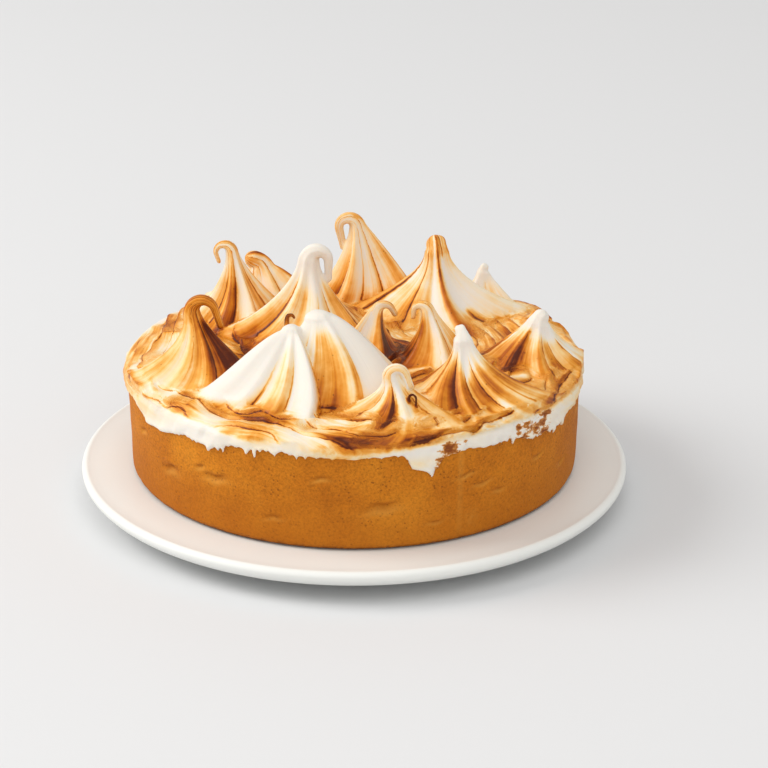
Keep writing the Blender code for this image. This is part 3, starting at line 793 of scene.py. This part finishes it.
def pulled_peak(number, peak):
    """One pull of the spoon, as a closed skin. Also keeps where each point lies on the pull."""
    stations = spine_of(peak)
    centres = np.array([s[0] for s in stations])
    turns = np.array([s[1] for s in stations])
    climbs = np.array([s[2] for s in stations])
    slims = np.array([s[3] for s in stations])

    def place_at(bearings, share):
        row = np.clip(share / TIP_FROM, 0, 1) * (len(stations) - 1)
        low = np.clip(row.astype(int), 0, len(stations) - 2)
        mix = (row - low)[:, None]
        centre = centres[low] * (1 - mix) + centres[low + 1] * mix
        turn = turns[low]
        climb = climbs[low] * (1 - mix[:, 0]) + climbs[low + 1] * mix[:, 0]
        slim = slims[low] * (1 - mix[:, 0]) + slims[low + 1] * mix[:, 0]
        radius = flank_radii(peak, bearings, np.minimum(climb, 1.0)) * slim
        dome = math.radians(peak["dome"])
        cap = np.clip((share - TIP_FROM) / (1 - TIP_FROM), 0, 1)
        angle = dome + cap * (math.pi / 2 - dome)
        radius = np.where(share < 1e-6, 0.0, radius * np.cos(angle) / math.cos(dome))
        ahead = (np.sin(angle) - math.sin(dome)) * peak["tip"] / math.cos(dome)
        spikes = np.abs(np.sin(1.5 * np.radians(bearings) + number)) ** 0.5 - 0.6
        ahead = ahead + peak["torn"] * smooth_step(share, 0.86, 0.97) * spikes * (1 - 0.8 * cap)
        flat = np.column_stack([
            radius * np.cos(np.radians(bearings)), radius * np.sin(np.radians(bearings)), ahead,
        ])
        points = centre + np.einsum("nij,nj->ni", turn, flat)
        body = climb < 1.0
        points[body] = kept_on_case(points[body])
        lies_on["points"].append(points)
        lies_on["marks"].append(np.column_stack([np.full(len(points), number), bearings, climb]))
        return (points + (0, 0, CASE_FOOT / MM)) * MM

    return wrapped_ball(f"pull_{number}", 72, 55, 1, place_at)


def spread_deck():
    """The slab of meringue under the peaks, with its lap over the wall, open to the case."""
    def place_at(bearings, share):
        cos, sin = np.cos(np.radians(bearings)), np.sin(np.radians(bearings))
        lap_foot = WALL_HEIGHT - lap_depth(bearings)
        ring_x, ring_y = ring_at(bearings)
        wobble = 0.35 * uneven(ring_x / 5, ring_y / 5 + share * 40, 7.0)
        outer = case_radius(lap_foot) + LAP_THICKNESS + wobble
        edge = deck_height(outer * cos, outer * sin)
        inner = case_radius(lap_foot) + CASE_GAP
        top = WALL_HEIGHT + CASE_GAP
        knots = [
            (0.00, 0, top),
            (0.10, inner - 3.0, top),
            (0.13, case_radius(WALL_HEIGHT - 2.5) + CASE_GAP,
             np.maximum(WALL_HEIGHT - 2.2, lap_foot + 0.3)),
            (0.16, inner, lap_foot),
            (0.18, outer - 0.8, lap_foot - 0.1),
            (0.20, outer, lap_foot + 0.9),
            (0.30, outer, (lap_foot + edge - SHOULDER) / 2),
            (0.36, outer, edge - SHOULDER),
            (0.40, outer - 0.13 * SHOULDER, edge - 0.55 * SHOULDER),
            (0.44, outer - 0.45 * SHOULDER, edge - 0.2 * SHOULDER),
            (LAP_SHARE, outer - SHOULDER, edge - 0.03 * SHOULDER),
        ]
        radius = np.zeros(len(share))
        level = np.zeros(len(share))
        for (s0, r0, z0), (s1, r1, z1) in zip(knots, knots[1:]):
            here = (share >= s0) & (share <= s1)
            mix = (share - s0) / (s1 - s0)
            radius = np.where(here, r0 * (1 - mix) + r1 * mix, radius)
            level = np.where(here, z0 * (1 - mix) + z1 * mix, level)
        inside = share > LAP_SHARE
        mix = (share - LAP_SHARE) / (1 - LAP_SHARE)
        radius = np.where(inside, (outer - SHOULDER) * (1 - mix), radius)
        hill = deck_height(radius * cos, radius * sin)
        blend = np.clip(mix / 0.04, 0, 1)
        level = np.where(inside, hill * blend + (edge - 0.03 * SHOULDER) * (1 - blend), level)
        points = np.column_stack([radius * cos, radius * sin, level])
        return (points + (0, 0, CASE_FOOT / MM)) * MM

    return wrapped_ball("spread", 250, 50, 2, place_at)


lies_on = {"points": [], "marks": []}
for peak in PEAKS:
    peak["base"] = DECK_EDGE + (DECK_CENTRE - DECK_EDGE) * (
        1 - (math.hypot(*peak["foot"]) / TOP_RADIUS) ** 2
    ) - DECK_FORWARD_RISE * peak["foot"][1] / TOP_RADIUS
pulled = [pulled_peak(number, peak) for number, peak in enumerate(PEAKS)]
meringue = spread_deck()
bpy.ops.object.select_all(action="DESELECT")
for piece in pulled:
    piece.select_set(True)
meringue.select_set(True)
bpy.context.view_layer.objects.active = meringue
bpy.ops.object.join()
meringue = bpy.context.object
meringue.name = "meringue_toasted"
bpy.ops.object.transform_apply(location=True, rotation=True, scale=True)
select_all_of(meringue)
bpy.ops.mesh.normals_make_consistent(inside=False)
bpy.ops.object.mode_set(mode="OBJECT")
# the pulls and the deck grow together into one skin
finish_with(meringue, "REMESH", mode="VOXEL", voxel_size=VOXEL)
finish_with(meringue, "SMOOTH", factor=0.5, iterations=4)
grown_triangles = len(meringue.data.polygons) * 2

# where each point of the grown skin lies: on which pull, at what bearing and how high up it
pull_points = np.concatenate(lies_on["points"])
pull_marks = np.concatenate(lies_on["marks"])
finder = KDTree(len(pull_points))
for index, point in enumerate(pull_points.tolist()):
    finder.insert(point, index)
finder.balance()


def skin_of(piece):
    """Points of the skin in mm above the case's foot, their normals, and their place on a pull."""
    flat = np.empty(len(piece.data.vertices) * 3, np.float32)
    piece.data.vertices.foreach_get("normal", flat)
    points = points_of(piece) / MM - (0, 0, CASE_FOOT / MM)
    found = [finder.find(point)[1:] for point in points.tolist()]
    nearest = np.array([f[0] for f in found])
    on_pull = 1 - smooth_step(np.array([f[1] for f in found]), 0.9, 2.4)
    number, around, climb = pull_marks[nearest].T
    number = number.astype(int)
    foot = np.array([peak["foot"] for peak in PEAKS])[number]
    lean = np.array([peak["lean"] for peak in PEAKS])[number]
    low = np.array([peak["base"] - PEAK_SINK for peak in PEAKS])[number]
    high = np.array([peak["top"] for peak in PEAKS])[number]
    level = np.clip((points[:, 2] - low) / (high - low), 0, 1)
    off = points[:, :2] - foot - lean * level[:, None] ** 2
    flank = climb < 0.97
    around = np.where(flank, np.degrees(np.arctan2(off[:, 1], off[:, 0])) % 360, around)
    climb = np.where(flank, level, climb)
    return points, flat.reshape(-1, 3).astype(float), number, around, climb, on_pull


# the spoon's marks run over the level parts and die out up the flanks
skin_points, normals, number, around, climb, on_pull = skin_of(meringue)
skin_x, skin_y, skin_z = skin_points.T
calm = 1 - smooth_step(climb * on_pull, 0.06, 0.28)
calm *= smooth_step(skin_z, 51.0, 53.5) * smooth_step(normals[:, 2], 0.05, 0.5)
marked = spoon_relief(skin_x, skin_y) * calm
bearing = np.degrees(np.arctan2(skin_y, skin_x)) % 360
ring_x, ring_y = ring_at(bearing)
outside = np.hypot(skin_x, skin_y) > TOP_RADIUS + 0.9
rough = bumps(bearing, CRUMBS) * outside * smooth_step(-skin_z, -54.0, -52.5)
marked += 0.55 * rough * uneven(ring_x / 0.8, ring_y / 0.8 + skin_z / 0.7, 2.0)
hanging = outside * (1 - smooth_step(skin_z, 52.5, 55.0))
marked += 0.50 * hanging * uneven(ring_x / 1.9, ring_y / 1.9 + skin_z / 2.2, 11.0)
marked += 0.22 * hanging * uneven(ring_x / 0.8, ring_y / 0.8 + skin_z / 1.1, 4.0)
skin_points += normals * marked[:, None]
place_points(meringue, (skin_points + (0, 0, CASE_FOOT / MM)) * MM)

finish_with(meringue, "DECIMATE", ratio=min(1.0, KEEP_TRIANGLES / grown_triangles))

skin_points, normals, number, around, climb, on_pull = skin_of(meringue)
skin_x, skin_y, skin_z = skin_points.T
radial = np.hypot(skin_x, skin_y)
turn = np.arctan2(skin_y, skin_x)
bearing = np.degrees(turn) % 360

# how much each point stands out of its surroundings, for burnt crests and for creases darkened with
# painted shade and some scorch
edges = np.empty(len(meringue.data.edges) * 2, np.int32)
meringue.data.edges.foreach_get("vertices", edges)
edges = edges.reshape(-1, 2)


def averaged(values, passes):
    """Values averaged over each point's neighbours, so many times."""
    count = np.bincount(edges.ravel(), minlength=len(values)).astype(float)
    for _ in range(passes):
        total = np.bincount(edges[:, 0], values[edges[:, 1]], len(values))
        total += np.bincount(edges[:, 1], values[edges[:, 0]], len(values))
        values = 0.5 * values + 0.5 * total / count
    return values


around_points = np.column_stack([averaged(skin_points[:, axis], 6) for axis in range(3)])
crest = np.einsum("ni,ni->n", skin_points - around_points, normals)
crest = averaged(crest, 1)

# how brown the torch left each point: by pull, then one by one where a fold was hidden or caught
toast = 0.35 + 0.30 * uneven(skin_x / 8, skin_y / 8, 9.0)
phase = sheet_phase(skin_x, skin_y)
streak_x = stroke_path(skin_x, skin_y) / 3.4
streak_y = 2.2 * np.cos(turn) + skin_z / 9
streak_z = 4.0 * np.sin(turn)
for index, peak in enumerate(PEAKS):
    mine = number == index
    up = np.clip(climb, 0, 1)
    foot_tone, mid_tone, tip_tone = (max(0.0, tone - 0.05) for tone in peak["toast"])
    tone = np.where(
        up < 0.5, foot_tone + (mid_tone - foot_tone) * smooth_step(up, 0.05, 0.5),
        mid_tone + (tip_tone - mid_tone) * smooth_step(up, 0.5, 0.95),
    )
    base_turn = unswept(peak, around, up)
    for mark_bearing, half_width, low, high, change in peak["marks"]:
        gap = np.abs(bearing_gap(base_turn, mark_bearing)) / half_width
        span = smooth_step(up, low - 0.08, low + 0.08)
        span *= 1 - smooth_step(up, high - 0.05, high + 0.12)
        tone = tone + change * np.exp(-gap**2.4) * span
    toast += mine * on_pull * (tone - toast)
    folded = mine & (climb * on_pull > 0.17)
    phase = np.where(folded, flute_phase(peak, base_turn) + 20 * (index + 2), phase)
    angle = np.radians(base_turn)
    count = 2.6 + 0.02 * peak["reach"]
    here = mine * on_pull
    streak_x += here * (count * np.cos(angle) + 7 * index - streak_x)
    streak_y += here * (count * np.sin(angle) - 5 * index - streak_y)
    streak_z += here * (0.9 * climb - streak_z)

# hollows between the pulls, made browner partly as torch browning and partly as painted shade: x,
# y, height, radius in mm, and how much browner
HOLLOWS = (
    (-52, -24, 62, 13, 0.45), (-46, -12, 60, 10, 0.35), (48, -14, 61, 12, 0.40),
    (24, -9, 60, 12, 0.62), (0, -38, 60, 8, 0.2), (10, 60, 58, 10, 0.2),
)
for x, y, level, size, change in HOLLOWS:
    off = np.sqrt((skin_x - x) ** 2 + (skin_y - y) ** 2 + (1.3 * (skin_z - level)) ** 2)
    toast = toast + change * np.exp(-((off / size) ** 2))

toast = toast + np.clip(crest - 0.09, 0, 0.2) * 1.6 * smooth_step(toast, 0.02, 0.3)
# creases made browner: painted shade, with some scorch
toast = toast + np.clip(-0.09 - crest, 0, 0.2) * 0.8 * smooth_step(toast, 0.15, 0.5)
# the wall below the shoulder was out of the flame
shoulder = 51.4 + 1.0 * uneven(bearing / 5, 0 * bearing, 3.0)
shoulder += bumps(
    bearing, ((226, 20, 2.6), (266, 14, -2.2), (312, 20, 1.6), (60, 25, 1.5), (140, 25, 1.5))
)
drop_side = smooth_step(skin_z - shoulder, -0.8, 0.9)
side = radial > TOP_RADIUS - 5.0
scorch = bumps(bearing, ((192, 14, 0.42), (345, 14, 0.30), (266, 10, 0.22), (95, 16, 0.35)))
low_tone = 0.02 + scorch + 0.08 * uneven(bearing / 3, skin_z / 2, 5.0)
toast = np.where(side, low_tone + (toast - low_tone) * drop_side, toast)
rim_white = bumps(
    bearing, ((232, 13, 0.7), (311, 20, 0.8), (70, 22, 0.7), (128, 20, 0.6), (0, 14, 0.5))
)
rim_white *= 0.75 + 0.5 * uneven(skin_x / 4, skin_y / 4, 3.0)
toast *= 1 - np.clip(rim_white, 0, 0.95) * smooth_step(radial, TOP_RADIUS - 11, TOP_RADIUS - 5)
toast = np.clip(averaged(toast, 2), 0, 1)
store_value(meringue, "toast", toast)

# folds are told apart only where the count runs on from one point to the next
step = np.abs(phase[edges[:, 0]] - phase[edges[:, 1]]) > 0.8
runs_on = edges[~step]
for _ in range(4):
    count = np.bincount(runs_on.ravel(), minlength=len(phase))
    total = np.bincount(runs_on[:, 0], phase[runs_on[:, 1]], len(phase))
    total += np.bincount(runs_on[:, 1], phase[runs_on[:, 0]], len(phase))
    phase = np.where(count > 0, 0.4 * phase + 0.6 * total / np.maximum(count, 1), phase)
steady = np.ones(len(phase))
steady[edges[step].ravel()] = 0
steady[skin_z < 52.5] = 0
store_value(meringue, "phase", phase)
store_value(meringue, "steady", steady)
crumbed = bumps(bearing, CRUMBS) * (radial > TOP_RADIUS - 1)
crumbed *= 1 - smooth_step(skin_z, 52.0, 54.0)
store_value(meringue, "crumbs", np.clip(crumbed, 0, 1))
streak = np.column_stack([streak_x, streak_y, streak_z]).astype(np.float32)
layer = meringue.data.attributes.new("streak", "FLOAT_VECTOR", "POINT")
layer.data.foreach_set("vector", streak.ravel())
bpy.ops.object.shade_smooth()


def stretched_in(tree, vector, stretch):
    """Coordinates stretched along each axis."""
    mapping = set_inputs(tree.nodes.new("ShaderNodeMapping"), Scale=stretch)
    tree.links.new(vector, mapping.inputs["Vector"])
    return mapping.outputs["Vector"]


def spread_in(tree, value, low, high):
    """Stretches a value from one range to 0..1."""
    node = set_inputs(tree.nodes.new("ShaderNodeMapRange"), From_Min=low, From_Max=high)
    tree.links.new(value, node.inputs["Value"])
    return node.outputs["Result"]


def free_in(tree, operation, result, *others):
    """Like math_in for two values or more, but the result may leave the range from 0 to 1."""
    for other in others:
        result = math_in(tree, operation, result, other)
        result.node.use_clamp = False
    return result


tree, shader, place = new_material(
    meringue, "torched_meringue", IOR=1.38, Specular_IOR_Level=0.3,
    Subsurface_Weight=0.12, Subsurface_Radius=(1.0, 0.7, 0.45), Subsurface_Scale=2.0 * MM,
)
toasting = attribute_in(tree, "toast")
along_pull = stretched_in(tree, attribute_in(tree, "streak", "Vector"), (1.0, 1.0, 0.35))
broad = noise_in(tree, along_pull, 1.6, 3.0)
streaks = noise_in(tree, along_pull, 3.4, 3.0)
blots = noise_in(tree, place, 60.0, 4.0, 0.6)

# the toast wanders off its mean: in broad patches, in fine streaks and in blots
WANDERS = ((broad, 0.9), (streaks, 0.35), (blots, 0.7))
centred = -0.5 * sum(gain for _, gain in WANDERS)
drifts = [free_in(tree, "MULTIPLY", source, gain) for source, gain in WANDERS]
allowed = spread_in(tree, toasting, 0.0, 0.35)
wander = free_in(tree, "MULTIPLY", free_in(tree, "ADD", centred, *drifts), allowed)

# each fold has its own random tone, darkens towards its edge, and ends in a thin dark line in the
# crease, partly scorch and partly painted shade
phase_of = attribute_in(tree, "phase")
steady_of = attribute_in(tree, "steady")
fold_number = free_in(tree, "FLOOR", phase_of, 0.0)
fold_shade = tree.nodes.new("ShaderNodeTexWhiteNoise")
fold_shade.noise_dimensions = "1D"
tree.links.new(fold_number, fold_shade.inputs["W"])
across = free_in(tree, "FRACT", phase_of, 0.0)
own_shade = free_in(tree, "MULTIPLY", fold_shade.outputs["Value"], 0.31)
shade = free_in(tree, "ADD", own_shade, free_in(tree, "MULTIPLY", across, 0.22), -0.255)
shade = free_in(tree, "MULTIPLY", shade, steady_of, allowed)
to_edge = free_in(tree, "PINGPONG", phase_of, 0.5)
edge_line = ramp_in(tree, to_edge, [(0.0, 1.0), (0.025, 0.7), (0.065, 0.0)])
edge_break = ramp_in(tree, broad, [(0.34, 0.1), (0.52, 1.0)])
edge_toast = spread_in(tree, toasting, 0.0, 0.2)
edge_line = free_in(tree, "MULTIPLY", edge_line, edge_break, steady_of, edge_toast, 0.48)
amount = math_in(tree, "ADD", free_in(tree, "ADD", toasting, wander, shade), edge_line)
# white, then cream, gold, amber and brown to nearly black
colour = ramp_in(tree, amount, [
    (0.00, (0.84, 0.79, 0.715)), (0.12, (0.88, 0.755, 0.555)), (0.25, (0.91, 0.64, 0.30)),
    (0.40, (0.86, 0.42, 0.085)), (0.56, (0.70, 0.25, 0.016)), (0.72, (0.47, 0.118, 0.003)),
    (0.87, (0.23, 0.042, 0.001)), (1.00, (0.09, 0.013, 0.001)),
])

# crumbs of the wall that the spoon dragged into the lap, then specks of soot
scraped = noise_in(tree, stretched_in(tree, place, (1.0, 1.0, 2.0)), 130.0, 5.0, 0.7)
crumb_grain = math_in(tree, "MULTIPLY", scraped, attribute_in(tree, "crumbs"))
crumb_mask = ramp_in(tree, crumb_grain, [(0.475, 0.0), (0.50, 1.0)])
crumb_brown = ramp_in(tree, crumb_grain, [
    (0.48, (0.80, 0.47, 0.17)), (0.52, (0.56, 0.21, 0.035)), (0.60, (0.25, 0.06, 0.008)),
])
colour = mix_in(tree, crumb_mask, colour, crumb_brown)
speck_spots = ramp_in(tree, cells_in(tree, place, 260.0), [(0.07, 0.8), (0.14, 0.0)])
speck_fields = ramp_in(tree, amount, [(0.3, 0.0), (0.65, 1.0)])
speck_mask = math_in(tree, "MULTIPLY", speck_spots, speck_fields)
colour = mix_in(tree, speck_mask, colour, (0.16, 0.045, 0.004))
tree.links.new(colour, shader.inputs["Base Color"])
gloss = ramp_in(tree, amount, [(0.0, 0.52), (0.6, 0.38)])
tree.links.new(gloss, shader.inputs["Roughness"])
bump_in(tree, shader, streaks, 0.5, 0.35 * MM)
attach(meringue, "root")
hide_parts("meringue")

# ---------------------------------------------------------------- table, light and camera
# A pale grey table, lit softly from the upper left, in a pale room light.

bpy.ops.object.select_all(action="DESELECT")
bpy.ops.mesh.primitive_plane_add(size=8.0, location=(0, 0, 0))
floor = bpy.context.object
floor.name = "table"
new_material(floor, "pale_table", Base_Color=(0.73, 0.737, 0.75, 1.0), Roughness=0.85)

world = bpy.data.worlds.new("soft_room")
bpy.context.scene.world = world
world.use_nodes = True
sky = world.node_tree.nodes["Background"]
set_inputs(sky, Color=(1.0, 0.985, 0.965, 1.0), Strength=0.63)


def softbox(name, where, size, power, colour):
    """A square lamp aimed at the pie: size in metres, power in watts."""
    lamp = bpy.data.lights.new(name, "AREA")
    lamp.size = size
    lamp.energy = power
    lamp.color = colour
    holder = bpy.data.objects.new(name, lamp)
    bpy.context.scene.collection.objects.link(holder)
    holder.location = where
    aim = Vector((0, 0, 0.05)) - Vector(where)
    holder.rotation_euler = aim.to_track_quat("-Z", "Y").to_euler()


softbox("window", (-2.3, 0.1, 1.8), 1.6, 49.0, (1.0, 0.985, 0.96))
softbox("overhead", (0.3, -1.2, 2.4), 1.8, 15.0, (1.0, 0.99, 0.97))
softbox("front", (0.0, -2.4, 0.45), 1.6, 7.0, (1.0, 0.99, 0.97))

CAMERA_DISTANCE = 1.5
CAMERA_ELEVATION = math.radians(23.96)
CAMERA_LENS = 143.4  # mm, on a sensor 36 mm wide
CAMERA_SHIFT = (0.039, 0.093)
camera_data = bpy.data.cameras.new("camera")
camera = bpy.data.objects.new("camera", camera_data)
bpy.context.scene.collection.objects.link(camera)
camera.location = (
    0,
    -CAMERA_DISTANCE * math.cos(CAMERA_ELEVATION),
    CASE_FOOT + CAMERA_DISTANCE * math.sin(CAMERA_ELEVATION),
)
camera.rotation_euler = (math.pi / 2 - CAMERA_ELEVATION, 0, 0)
camera_data.sensor_width = 36.0
camera_data.lens = CAMERA_LENS
camera_data.shift_x, camera_data.shift_y = CAMERA_SHIFT
bpy.context.scene.camera = camera
bpy.context.scene.view_settings.view_transform = "Standard"
